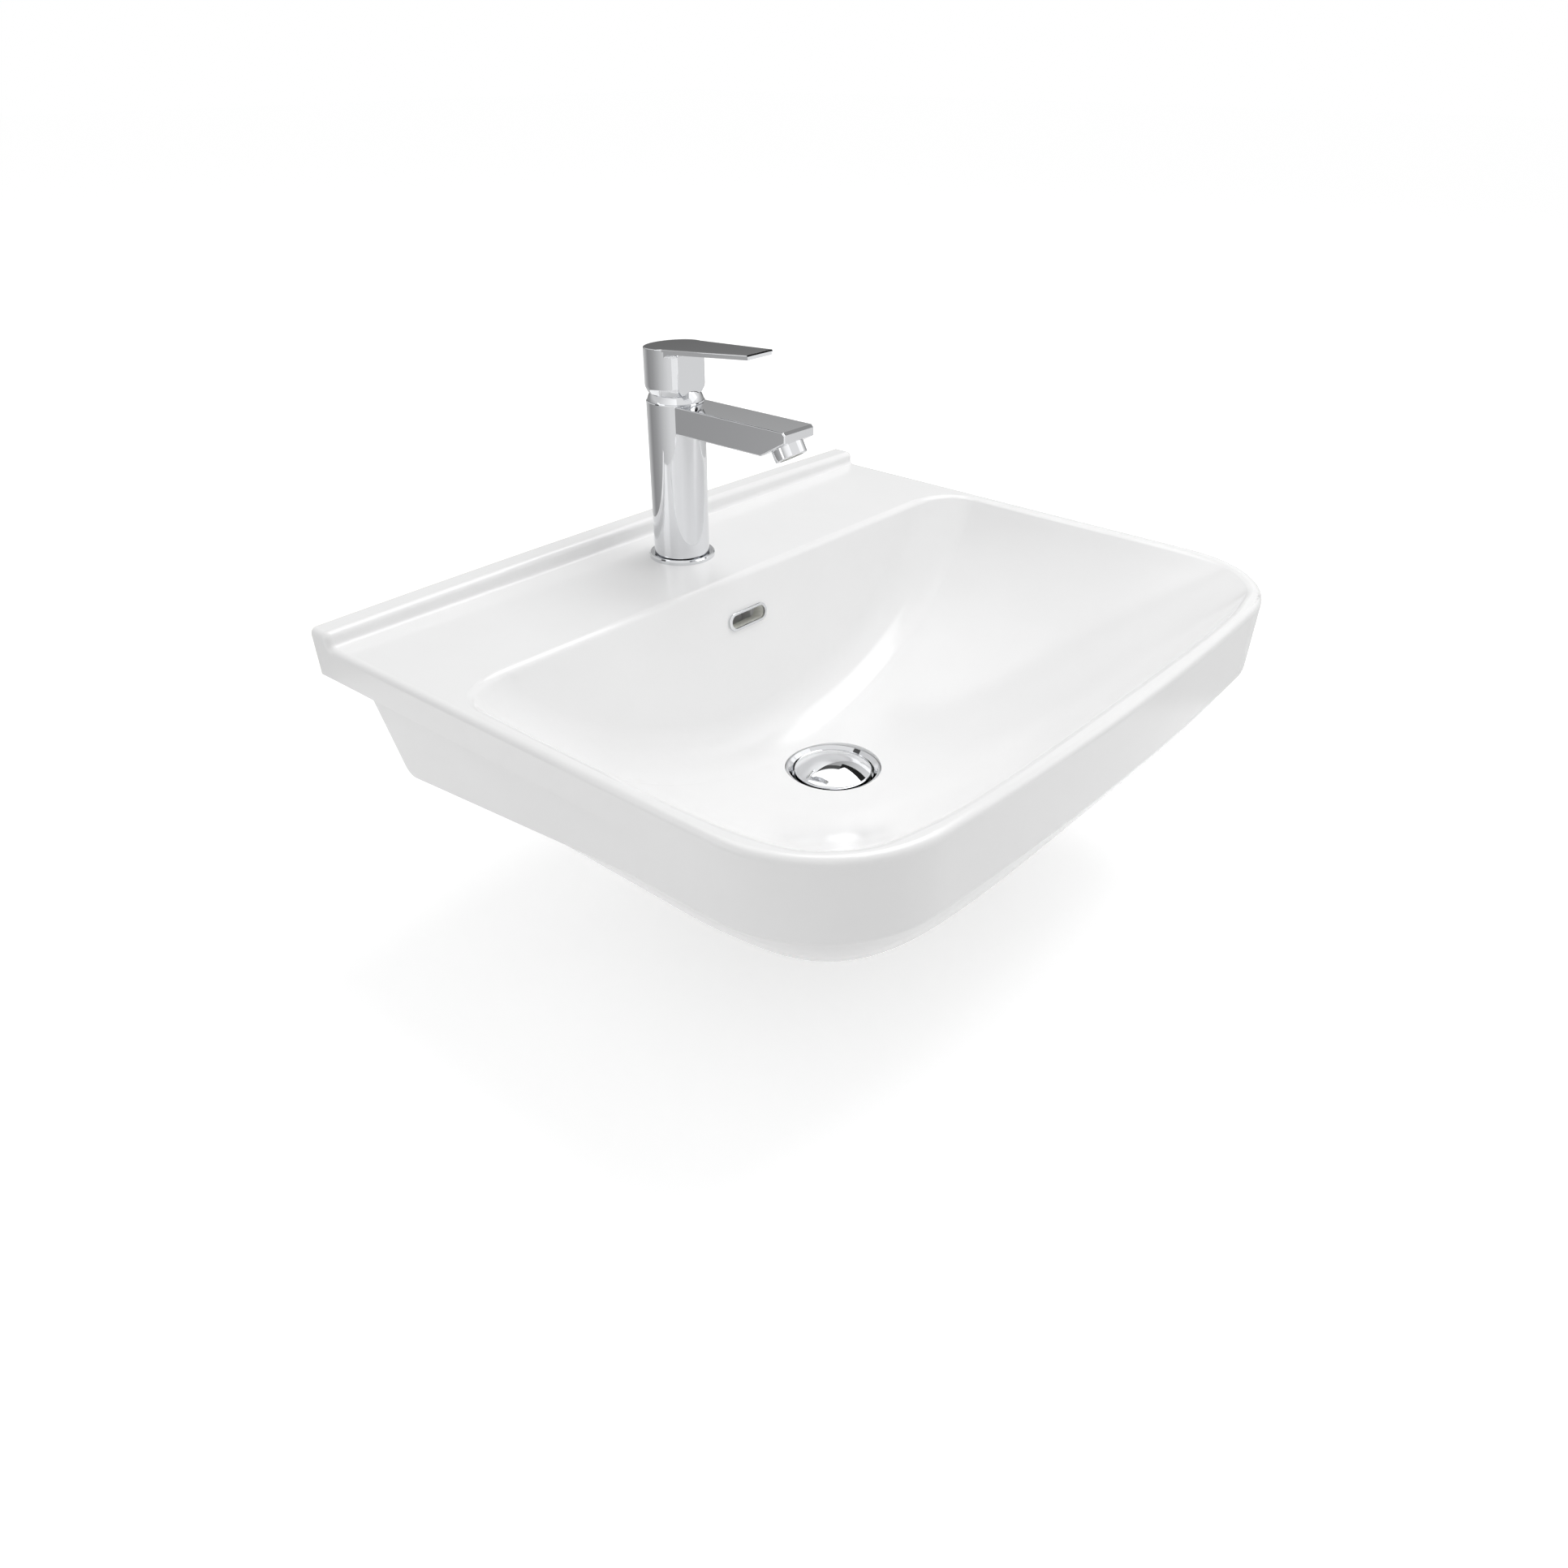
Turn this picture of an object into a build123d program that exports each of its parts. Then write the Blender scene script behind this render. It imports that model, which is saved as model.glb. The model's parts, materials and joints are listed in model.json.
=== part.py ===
from build123d import *
from math import cos, hypot, pi, radians, sin, sqrt, tan
import os

os.makedirs("parts", exist_ok=True)

# Millimetres. X runs along the wall, +Y points into the wall, +Z is up.
# The origin is the middle of the wall face, level with the deck.

# Rim, deck and ledge
basin_width = 550
basin_depth = 453
front_half_width = 270
front_bow = 14
corner_radius = 89
side_draft = 3
deck_thickness = 14
rim_drop = 24
rim_round = 4.5
mouth_round = 5.5
ledge_height = 10
ledge_crown = 2.5
ledge_depth = 17.5
ledge_round = 3.5
wall_lip = 25

# Apron in front, skirts at the sides
apron_drop = 54
apron_rear = 300
step_round = 8
skirt_half_width = 266
skirt_thickness = 11
skirt_front_drop = 56
skirt_rear_top = 42
skirt_rear_bottom = 76
skirt_rear_drop = 77
skirt_round = 12
skirt_overlap = 4
skirt_step_round = 2.5

# Bowl
bowl_half_width = 262
bowl_depth = 132
bowl_rear = 130
wall_slope = 0.18
bowl_front = 441
foot_round = 36
skin = 11

# Belly under the bowl
belly_half_width = 264.5
belly_front = 446.5
belly_middle = 230
belly_rear = 60
belly_bottom = 164
belly_corner = 5.5
belly_fullness = 3.3
belly_roundness = 0.85
belly_shares = (0, 0.07, 0.2, 0.4, 0.6, 0.8, 0.92, 0.985)
belly_vent_x = 200
belly_vent_z = -97
belly_vent_radius = 4

# Waste
waste_y = -222
seat_z = -139.5
cone_z = -147.5
seat_radius = 36.5
seal_thickness = 1.8
waste_hole_radius = 22.8
boss_radius = 44
tail_radius = 20.95
tail_step = -200
nut_thread_radius = 21.25
tail_bore = 18.5
tail_end = -225
dish_radius = 31.4
dish_foot = -138.8
flange_radius = 36
flange_top = -131.7
cap_radius = 29.5
cap_top = -125
cap_rim = -136
cap_skin = 2
cap_rise = 7.4
carrier_bottom = -137.6
hub_bottom = -152
housing_top = -160
housing_radius = 8
rod_radius = 4
housing_bottom = -196
stem_end = -188
spider_z = -176
spring_turns = 4
spring_wire = 0.8
spring_radius = 5.6
slide_gap = 0.06

# Overflow: a duct down the back of the bowl and forward to the waste
duct_width = 32
duct_depth = 12
duct_wall = 8
duct_floor = -157
duct_height = 10
overflow_z = -33
overflow_width = 38
overflow_height = 12
overflow_sleeve_wall = 1
overflow_ring_width = 41
overflow_ring_height = 14

# Tap
tap_y = -68.5
tap_hole_radius = 17.5
body_foot = 1.8
body_top = 118
body_radius = 21
body_top_radius = 21.2
foot_cavity = 17
cavity_top = 30
chamber_floor = 78
chamber_radius = 18.6
inlet_x = 7.5
inlet_back = -5
inlet_radius = 4.5
inlet_depth = 15
stud_back = 9
stud_radius = 4
stud_end = -58
port_x = 6.5
port_radius = 2.4
outlet_back = 6
outlet_radius = 3.2
spout_half_width = 15.3
spout_top = 117.3
spout_bottom = 97.7
spout_tip = -186.3
spout_tip_low = 110
spout_heel = -164.7
waterway_z = 104.5
waterway_radius = 5.5
aerator_radius = 11.6
aerator_thread = 10.8
aerator_bore = 9.6
aerator_length = 8.4
aerator_seat = 7

# Cartridge, on the tap's axis
cup_radius = 17.3
cup_bore = 15.3
cup_foot = 78.8
disc_floor = 81
slide_plane = 85
slide_film = 0.05
carrier_top = 101
driver_foot = 101.7
lid_floor = 104
lid_top = 110
nut_top = 115
neck_top = 116
neck_radius = 11.5
neck_clearance = 0.08
pivot_z = 112
pin_radius = 1.5
pin_clearance = 0.05
ball_z = 98
ball_radius = 3.5
arm_radius = 2.6
stem_width = 8
stem_top = 149

# Handle
dome_radius = 21.6
dome_skin = 1.3
dome_mouth = 12
dome_groove = 0.6
head_radius = 21.6
head_floor = 124
head_foot_radius = 19.5
head_wide_z = 128
head_foot_round = 6
head_bore = 15.2
head_ceiling = 149.5
socket_boss = 7.5
facet_front = 17
facet_side_round = 2
lever_z = 156
lever_slope = 4.1
lever_reach = 83.3
lever_thickness = 3.4
lever_front_chamfer = 1
lever_edge_round = 0.6
facet_round = 3
lever_root_half = 20
lever_tip_half = 12.7
lever_root = -8.5
edge_step = 0.6
socket_floor = 134
grub_z = 141
grub_radius = 2.5
plug_radius = 3
plug_seat = -19.5


def rear_wall_y(z, back=0):
    return -bowl_rear + wall_slope * z + back


def seat_height(radius):
    slope = (seat_z - cone_z) / (seat_radius - waste_hole_radius)
    return cone_z + slope * (radius - waste_hole_radius)


def bowl_height(x, y, grown):
    half_width = bowl_half_width + grown
    depth = bowl_depth + grown
    reach = bowl_front + waste_y + grown
    radius = (half_width**2 + depth**2) / (2 * depth)
    across = abs(x) / half_width
    along = (max(waste_y - y, 0) / reach) ** 1.2
    square = (across**6 + along**6) ** (1 / 6)
    u = hypot(across, along)
    u += (square - u) * min(square, 1) ** 2
    return radius - depth - sqrt(radius**2 - (half_width * u) ** 2)


def space_over_bowl(grown):
    """all that lies above the bowl's surface, with the surface grown outwards"""
    half_width = bowl_half_width + grown
    steps = 24
    front = -(bowl_front + grown) - 16
    rear = -bowl_rear + 40
    rows = []
    for j in range(steps + 1):
        y = front + (rear - front) * j / steps
        xs = [half_width * 1.03 * (2 * i / steps - 1) for i in range(steps + 1)]
        rows.append([Vector(x, y, bowl_height(x, y, grown)) for x in xs])
    floor = Face.make_surface_from_array_of_points(rows, tol=0.05, min_deg=3, max_deg=5)
    return Solid.extrude(floor, Vector(0, 0, 2 * bowl_depth))


def sphere_radius_at(z, radius):
    return sqrt(radius**2 - (z - pivot_z) ** 2)


def sphere_z_at(r, radius):
    return pivot_z + sqrt(radius**2 - r**2)


def sphere_point(radius, tilt):
    return (radius * sin(radians(tilt)), pivot_z + radius * cos(radians(tilt)))


def belly_section(inset, share):
    """a level section of the belly, share of the way from its rim to its bottom"""
    half_width = belly_half_width - inset
    reach = belly_front - belly_middle - inset
    depth = belly_bottom - apron_drop - inset
    size = (1 - share ** (1 / belly_roundness)) ** (1 / belly_fullness)
    power = 2 / belly_corner
    front = []
    for i in range(17):
        turn = pi * i / 16
        x = half_width * size * abs(cos(turn)) ** power
        y = -belly_middle - reach * size * abs(sin(turn)) ** power
        front.append((x if i < 8 else -x, y))
    with BuildSketch(Plane.XY.offset(-apron_drop - depth * share)) as section:
        with BuildLine():
            Spline(*front, tangents=((0, -1), (0, 1)))
            Polyline(front[-1], (front[-1][0], -belly_rear), (front[0][0], -belly_rear), front[0])
        make_face()
    return section.sketch.face()


def column(y, radius, low, high, mode=Mode.ADD, x=0):
    with Locations((x, y, low)):
        Cylinder(radius, high - low, align=(Align.CENTER, Align.CENTER, Align.MIN), mode=mode)


def block(x_size, y_low, y_high, z_low, z_high, mode=Mode.ADD):
    with Locations((0, (y_low + y_high) / 2, (z_low + z_high) / 2)):
        Box(x_size, y_high - y_low, z_high - z_low, mode=mode)


def side_prism(half_width, points, mode=Mode.ADD):
    """a prism across X with its outline given as (y, z) points"""
    with BuildSketch(Plane.YZ.offset(-half_width)) as outline:
        with BuildLine():
            Polyline(*points, close=True)
        make_face()
    extrude(outline.sketch, amount=2 * half_width, mode=mode)


def turned(y, points, mode=Mode.ADD):
    """a ring turned about the upright axis at y, outline given as (radius, z) points"""
    with BuildSketch(Plane.XZ.offset(-y)) as outline:
        with BuildLine():
            Polyline(*points, close=True)
        make_face()
    revolve(outline.sketch, axis=Axis((0, y, 0), (0, 0, 1)), mode=mode)


def tube(y, outer, inner, low, high):
    turned(y, [(inner, low), (outer, low), (outer, high), (inner, high)])


def save(shape, name):
    shape.label = name
    export_step(shape, "parts/" + name + ".step")
    print(name, len(shape.solids()), shape.is_valid, round(shape.volume))


# Basin, one casting in glazed vitreous china
with BuildPart() as bowl_space:
    side_prism(
        bowl_half_width + 6,
        [
            (rear_wall_y(4), 4),
            (-basin_depth, 4),
            (-basin_depth, -200),
            (rear_wall_y(-200), -200),
        ],
    )
    add(space_over_bowl(0), mode=Mode.INTERSECT)
    bowl_foot = bowl_space.edges().filter_by(
        lambda e: e.center().Z < -40 and e.length > bowl_half_width
    )
    fillet(bowl_foot, radius=foot_round)

with BuildPart() as belly:
    loft([belly_section(0, share) for share in belly_shares])

with BuildPart() as hollow:
    loft([belly_section(skin, share) for share in belly_shares])
    add(space_over_bowl(skin), mode=Mode.SUBTRACT)
    side_prism(
        basin_width,
        [(rear_wall_y(0), 0), (rear_wall_y(-200), -200), (0, -200), (0, 0)],
        mode=Mode.SUBTRACT,
    )
    column(waste_y, boss_radius, -200, 0, mode=Mode.SUBTRACT)
    block(duct_width + 2 * duct_wall, waste_y, 0, -200, 0, mode=Mode.SUBTRACT)

with BuildPart() as basin_shell:
    top = ledge_height + ledge_crown
    flare = top * tan(radians(side_draft))
    rear_x = basin_width / 2 + flare
    front_x = front_half_width + flare
    front_y = front_bow - basin_depth - flare
    with BuildSketch(Plane.XY.offset(top)) as outline:
        with BuildLine():
            Polyline(
                (front_x, front_y),
                (rear_x, 0),
                (rear_x, 30),
                (-rear_x, 30),
                (-rear_x, 0),
                (-front_x, front_y),
            )
            ThreePointArc((front_x, front_y), (0, front_y - front_bow), (-front_x, front_y))
        make_face()
        fillet(outline.vertices().group_by(Axis.Y)[0], radius=corner_radius)
    extrude(amount=-apron_drop - top, taper=side_draft)
    side_prism(
        basin_width,
        [
            (0, 20),
            (-ledge_depth, 20),
            (-ledge_depth, 0),
            (-basin_depth - 5, 0),
            (-basin_depth - 5, -apron_drop),
            (-apron_rear, -apron_drop),
            (-apron_rear, -rim_drop),
            (0, -rim_drop),
        ],
        mode=Mode.INTERSECT,
    )
    with BuildSketch(Plane.XZ):
        with BuildLine():
            Polyline(
                (-rear_x, ledge_height),
                (-rear_x, -90),
                (rear_x, -90),
                (rear_x, ledge_height),
            )
            ThreePointArc((rear_x, ledge_height), (0, top), (-rear_x, ledge_height))
        make_face()
    extrude(amount=basin_depth + 5, mode=Mode.INTERSECT)
    ledge_foot = basin_shell.edges().filter_by(
        lambda e: abs(e.center().Y + ledge_depth) < 0.2 and abs(e.center().Z) < 0.2
    )
    fillet(ledge_foot, radius=ledge_round)
    upper_edges = basin_shell.edges().filter_by(
        lambda e: (e.center().Y < -1 and e.center().Z > 0.3)
        or (e.center().Y < -30 and abs(e.center().Z) < 0.3)
    )
    fillet(upper_edges, radius=rim_round)
    step_corner = basin_shell.edges().filter_by(
        lambda e: abs(e.center().Y + apron_rear) < 1 and abs(e.center().Z + rim_drop) < 1
    )
    fillet(step_corner, radius=step_round)
    with BuildSketch(Plane.YZ.offset(-skirt_half_width)) as skirt:
        with BuildLine():
            Polyline(
                (-apron_rear - 20, skirt_overlap - rim_drop),
                (-apron_rear - 20, -skirt_front_drop + 3),
                (-apron_rear, -skirt_front_drop),
                (-skirt_rear_bottom, -skirt_rear_drop),
                (-skirt_rear_top, -rim_drop),
                (-skirt_rear_top, skirt_overlap - rim_drop),
                close=True,
            )
        make_face()
        fillet(skirt.vertices().group_by(Axis.Y)[0], radius=skirt_round)
    extrude(amount=2 * skirt_half_width)
    skirt_step = basin_shell.edges().filter_by(
        lambda e: abs(abs(e.center().X) - skirt_half_width) < 0.01
        and e.center().Z > 1 - apron_drop
        and (abs(e.center().Z + rim_drop) < 3 or abs(e.center().Y + apron_rear) < 1)
    )
    fillet(skirt_step, radius=skirt_step_round)
    add(belly.part)
    column(waste_y, boss_radius, -belly_bottom, -bowl_depth)
    side_prism(
        skirt_half_width - skirt_thickness,
        [
            (-wall_lip, -200),
            (-wall_lip, -deck_thickness),
            (rear_wall_y(-deck_thickness, skin), -deck_thickness),
            (rear_wall_y(-200, skin), -200),
        ],
        mode=Mode.SUBTRACT,
    )
    side_prism(
        duct_width / 2 + duct_wall,
        [
            (rear_wall_y(-deck_thickness), -deck_thickness),
            (rear_wall_y(-deck_thickness, skin + duct_depth + duct_wall), -deck_thickness),
            (rear_wall_y(duct_floor - 5, skin + duct_depth + duct_wall), duct_floor - 5),
            (rear_wall_y(duct_floor - 5), duct_floor - 5),
        ],
    )
    add(bowl_space.part, mode=Mode.SUBTRACT)
    mouth = basin_shell.edges().filter_by(
        lambda e: abs(e.center().Z) < 0.3
        and e.bounding_box().min.Y > -bowl_front - 3
        and e.bounding_box().max.Y < -bowl_rear + 3
        and abs(e.center().X) < bowl_half_width
    )
    fillet(mouth, radius=mouth_round)
    add(hollow.part, mode=Mode.SUBTRACT)
    for x in (-belly_vent_x, belly_vent_x):
        with Locations(Location((x, rear_wall_y(belly_vent_z), belly_vent_z), (90, 0, 0))):
            Cylinder(belly_vent_radius, 60, mode=Mode.SUBTRACT)
    column(tap_y, tap_hole_radius, -deck_thickness, 0, mode=Mode.SUBTRACT)
    turned(
        waste_y,
        [
            (0, -120),
            (seat_radius, -120),
            (seat_radius, seat_z),
            (waste_hole_radius, cone_z),
            (waste_hole_radius, -belly_bottom),
            (0, -belly_bottom),
        ],
        mode=Mode.SUBTRACT,
    )
    side_prism(
        duct_width / 2,
        [
            (rear_wall_y(-skin - deck_thickness, skin), -skin - deck_thickness),
            (rear_wall_y(-skin - deck_thickness, skin + duct_depth), -skin - deck_thickness),
            (rear_wall_y(duct_floor, skin + duct_depth), duct_floor),
            (rear_wall_y(duct_floor, skin), duct_floor),
        ],
        mode=Mode.SUBTRACT,
    )
    block(
        duct_width - duct_wall,
        waste_y,
        rear_wall_y(duct_floor, skin + 1),
        duct_floor,
        duct_floor + duct_height,
        mode=Mode.SUBTRACT,
    )
    overflow_face = Plane(
        origin=(0, rear_wall_y(overflow_z), overflow_z),
        x_dir=(1, 0, 0),
        z_dir=(0, -1, wall_slope),
    )
    with BuildSketch(overflow_face):
        SlotOverall(overflow_width, overflow_height)
    extrude(amount=-skin - 2, mode=Mode.SUBTRACT)
save(basin_shell.part, "basin_shell")

# Overflow trim
with BuildPart() as overflow_sleeve:
    with BuildSketch(overflow_face):
        SlotOverall(overflow_width, overflow_height)
        SlotOverall(
            overflow_width - 2 * overflow_sleeve_wall,
            overflow_height - 2 * overflow_sleeve_wall,
            mode=Mode.SUBTRACT,
        )
    extrude(amount=-skin + 1)
save(overflow_sleeve.part, "overflow_sleeve")

with BuildPart() as overflow_ring:
    with BuildSketch(overflow_face):
        SlotOverall(overflow_ring_width, overflow_ring_height)
        SlotOverall(
            overflow_width - 2 * overflow_sleeve_wall,
            overflow_height - 2 * overflow_sleeve_wall,
            mode=Mode.SUBTRACT,
        )
    extrude(amount=1.8)
    fillet(overflow_ring.faces().sort_by(Axis.Y)[0].edges(), radius=0.7)
save(overflow_ring.part, "overflow_ring")

# Waste body, its seals and nut
with BuildPart() as waste_body:
    turned(
        waste_y,
        [
            (flange_radius - 1, flange_top),
            (flange_radius, flange_top - 0.8),
            (flange_radius, seat_height(flange_radius) + seal_thickness),
            (nut_thread_radius, seat_height(nut_thread_radius) + seal_thickness),
            (nut_thread_radius, tail_step + nut_thread_radius - tail_radius),
            (tail_radius, tail_step),
            (tail_radius, tail_end),
            (tail_bore, tail_end),
            (tail_bore, -142.6),
            (22, -140.7),
            (dish_radius - 0.8, dish_foot),
            (dish_radius, flange_top - 2.5),
            (34, flange_top),
        ],
    )
    for turn in range(4):
        with Locations(Location((0, waste_y, duct_floor + duct_height / 2), (0, 0, 45 + 90 * turn))):
            with Locations((20, 0, 0)):
                Box(8, 14, duct_height, mode=Mode.SUBTRACT)
    with BuildSketch(Plane.XY.offset(spider_z)):
        with Locations((0, waste_y)):
            Circle(housing_radius + 2)
            with PolarLocations(0, 3):
                with Locations((tail_bore / 2, 0)):
                    Rectangle(tail_bore + 1, 3)
            Circle(housing_radius, mode=Mode.SUBTRACT)
    extrude(amount=4)
save(waste_body.part, "waste_body")

with BuildPart() as waste_upper_seal:
    turned(
        waste_y,
        [
            (35, seat_height(35)),
            (35, seat_height(35) + seal_thickness),
            (24, seat_height(24) + seal_thickness),
            (24, seat_height(24)),
        ],
    )
save(waste_upper_seal.part, "waste_upper_seal")

with BuildPart() as waste_lower_seal:
    turned(
        waste_y,
        [
            (nut_thread_radius, -belly_bottom + 5),
            (nut_thread_radius + 0.6, -belly_bottom + 5),
            (waste_hole_radius, -belly_bottom),
            (31, -belly_bottom),
            (33, -belly_bottom - 2),
            (33, -belly_bottom - 6),
            (nut_thread_radius, -belly_bottom - 6),
        ],
    )
save(waste_lower_seal.part, "waste_lower_seal")

with BuildPart() as waste_slip_washer:
    tube(waste_y, 32, nut_thread_radius, -belly_bottom - 8, -belly_bottom - 6)
save(waste_slip_washer.part, "waste_slip_washer")

with BuildPart() as waste_back_nut:
    tube(waste_y, 28, nut_thread_radius, -belly_bottom - 20, -belly_bottom - 8)
    with BuildSketch(Plane.XY.offset(-belly_bottom - 20)):
        with Locations((0, waste_y)):
            with PolarLocations(29, 6):
                Rectangle(6, 10)
            Circle(27, mode=Mode.SUBTRACT)
    extrude(amount=9)
save(waste_back_nut.part, "waste_back_nut")

# Push mechanism and cap
with BuildPart() as popup_housing:
    column(waste_y, housing_radius, housing_bottom, housing_top)
    column(waste_y, rod_radius + slide_gap, housing_bottom + 5, housing_top, mode=Mode.SUBTRACT)
save(popup_housing.part, "popup_housing")

with BuildPart() as popup_stem:
    column(waste_y, rod_radius, stem_end, hub_bottom + 10)
save(popup_stem.part, "popup_stem")

with BuildPart() as popup_spring:
    coil_height = hub_bottom - housing_top - 2 * spring_wire
    coil_pitch = coil_height / spring_turns
    with BuildLine(Plane.XY.offset(housing_top + spring_wire)) as coil_line:
        with Locations((0, waste_y)):
            Helix(coil_pitch, coil_height, spring_radius, center=(0, waste_y, 0))
    with BuildSketch(Plane(origin=coil_line.line @ 0, z_dir=coil_line.line % 0)):
        Circle(spring_wire)
    sweep(is_frenet=True)
save(popup_spring.part, "popup_spring")

with BuildPart() as plug_carrier:
    turned(
        waste_y,
        [
            (0, cap_top - cap_skin - 0.3),
            (rod_radius + 2, cap_top - cap_skin - 0.3),
            (rod_radius + 2, cap_rim + 1),
            (cap_radius - cap_skin, cap_rim + 1),
            (cap_radius - cap_skin, cap_rim),
            (25, carrier_bottom + 0.6),
            (10, carrier_bottom + 0.6),
            (7, carrier_bottom - 4),
            (7, hub_bottom),
            (0, hub_bottom),
        ],
    )
    column(waste_y, rod_radius, hub_bottom, hub_bottom + 10, mode=Mode.SUBTRACT)
save(plug_carrier.part, "plug_carrier")

with BuildPart() as plug_seal:
    turned(
        waste_y,
        [
            (18, carrier_bottom + 0.6),
            (25, carrier_bottom + 0.6),
            (25.4, carrier_bottom - 0.6),
            (24.6, carrier_bottom - 1),
            (18, carrier_bottom - 1),
        ],
    )
save(plug_seal.part, "plug_seal")

with BuildPart() as plug_cap:
    for radius, high, corner, mode in (
        (cap_radius, cap_top, 1.8, Mode.ADD),
        (cap_radius - cap_skin, cap_top - cap_skin, 0.3, Mode.SUBTRACT),
    ):
        crown = (radius**2 + cap_rise**2) / (2 * cap_rise)
        with BuildSketch(Plane.XZ.offset(-waste_y)) as cap_outline:
            with BuildLine():
                Polyline((0, high), (0, cap_rim), (radius, cap_rim), (radius, high - cap_rise))
                ThreePointArc(
                    (radius, high - cap_rise),
                    (radius / 2, high - crown + sqrt(crown**2 - (radius / 2) ** 2)),
                    (0, high),
                )
            make_face()
            fillet(cap_outline.vertices().group_by(Axis.X)[-1].sort_by(Axis.Y)[-1], radius=corner)
        revolve(axis=Axis((0, waste_y, 0), (0, 0, 1)), mode=mode)
save(plug_cap.part, "plug_cap")


# Tap body with its spout
with BuildPart() as tap_body:
    with BuildSketch(Plane.YZ.offset(-spout_half_width)) as spout_side:
        with BuildLine():
            Polyline(
                (tap_y, spout_top),
                (spout_tip, spout_top),
                (spout_tip, spout_tip_low),
                (spout_heel, spout_bottom),
                (tap_y, spout_bottom),
                close=True,
            )
        make_face()
        chamfer(spout_side.vertices().group_by(Axis.X)[0].sort_by(Axis.Y)[-1], length=1.8)
    extrude(amount=2 * spout_half_width)
    spout_edges = tap_body.faces().filter_by(Axis.X).edges()
    fillet(spout_edges.filter_by(lambda e: e.center().Y < tap_y - 5), radius=0.9)
    turned(
        tap_y,
        [
            (0, body_foot),
            (body_radius - 1, body_foot),
            (body_radius, body_foot + 1),
            (body_top_radius, body_top - 0.5),
            (body_top_radius - 0.5, body_top),
            (0, body_top),
        ],
    )
    column(tap_y, foot_cavity, body_foot, cavity_top, mode=Mode.SUBTRACT)
    column(tap_y, chamber_radius, chamber_floor, body_top, mode=Mode.SUBTRACT)
    for side in (-1, 1):
        column(
            tap_y + inlet_back,
            inlet_radius,
            cavity_top,
            cavity_top + inlet_depth,
            mode=Mode.SUBTRACT,
            x=side * inlet_x,
        )
        column(
            tap_y + inlet_back,
            port_radius,
            cavity_top + inlet_depth,
            chamber_floor,
            mode=Mode.SUBTRACT,
            x=side * port_x,
        )
    column(tap_y + stud_back, stud_radius, cavity_top, cavity_top + 12, mode=Mode.SUBTRACT)
    block(
        2 * outlet_radius,
        tap_y,
        tap_y + chamber_radius,
        chamber_floor - 5,
        chamber_floor,
        mode=Mode.SUBTRACT,
    )
    with Locations(Location((0, (tap_y - chamber_radius + spout_heel) / 2, waterway_z), (90, 0, 0))):
        Cylinder(
            waterway_radius,
            tap_y - chamber_radius - spout_heel + 10,
            mode=Mode.SUBTRACT,
        )
    aerator_face = Plane(
        origin=(0, (spout_tip + spout_heel) / 2, (spout_tip_low + spout_bottom) / 2),
        x_dir=(1, 0, 0),
        z_dir=(0, spout_bottom - spout_tip_low, spout_tip - spout_heel),
    )
    with BuildSketch(aerator_face):
        Circle(aerator_thread)
    extrude(amount=-6, mode=Mode.SUBTRACT)
    with BuildSketch(aerator_face.offset(-6)):
        Circle(aerator_seat)
    extrude(amount=-3, mode=Mode.SUBTRACT)
save(tap_body.part, "tap_body")

with BuildPart() as aerator_housing:
    with BuildSketch(aerator_face):
        Circle(aerator_radius)
        Circle(aerator_bore, mode=Mode.SUBTRACT)
    extrude(amount=aerator_length)
    with BuildSketch(aerator_face):
        Circle(aerator_thread)
        Circle(aerator_bore, mode=Mode.SUBTRACT)
    extrude(amount=-4.5)
    with BuildSketch(aerator_face.offset(aerator_length - 1)):
        Circle(aerator_bore)
        Circle(aerator_bore - 1, mode=Mode.SUBTRACT)
    extrude(amount=1)
    outlet_edges = aerator_housing.faces().sort_by(Axis.Z)[0].edges()
    fillet(outlet_edges.sort_by(SortBy.LENGTH)[-1], radius=0.6)
save(aerator_housing.part, "aerator_housing")

with BuildPart() as aerator_seal:
    with BuildSketch(aerator_face.offset(-6)):
        Circle(aerator_thread)
        Circle(aerator_seat, mode=Mode.SUBTRACT)
    extrude(amount=1.5)
save(aerator_seal.part, "aerator_seal")

# Insert of stacked mesh plates in a plastic cup
with BuildPart() as aerator_insert:
    with BuildSketch(aerator_face.offset(-4.5)):
        Circle(aerator_bore)
        Circle(aerator_bore - 1, mode=Mode.SUBTRACT)
    extrude(amount=4.5 + aerator_length - 1)
    with BuildSketch(aerator_face.offset(aerator_length - 3.5)):
        Circle(aerator_bore)
        with HexLocations(1.6, 5, 5):
            RegularPolygon(1.2, 6, mode=Mode.SUBTRACT)
    extrude(amount=2)
save(aerator_insert.part, "aerator_insert")

# Base ring, gasket and the fixing under the deck
with BuildPart() as tap_base_ring:
    turned(
        tap_y,
        [
            (foot_cavity, 0.9),
            (22, 0.9),
            (22, 0),
            (25, 0),
            (25, 2.4),
            (24.2, 3.2),
            (22.6, 3.2),
            (22.6, body_foot),
            (foot_cavity, body_foot),
        ],
    )
save(tap_base_ring.part, "tap_base_ring")

with BuildPart() as tap_base_gasket:
    tube(tap_y, 22, tap_hole_radius + 0.5, 0, 0.9)
save(tap_base_gasket.part, "tap_base_gasket")

with BuildPart() as fixing_stud:
    column(tap_y + stud_back, stud_radius, stud_end, cavity_top + 10)
    chamfer(fixing_stud.edges().filter_by(GeomType.CIRCLE), length=0.8)
save(fixing_stud.part, "fixing_stud")

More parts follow.
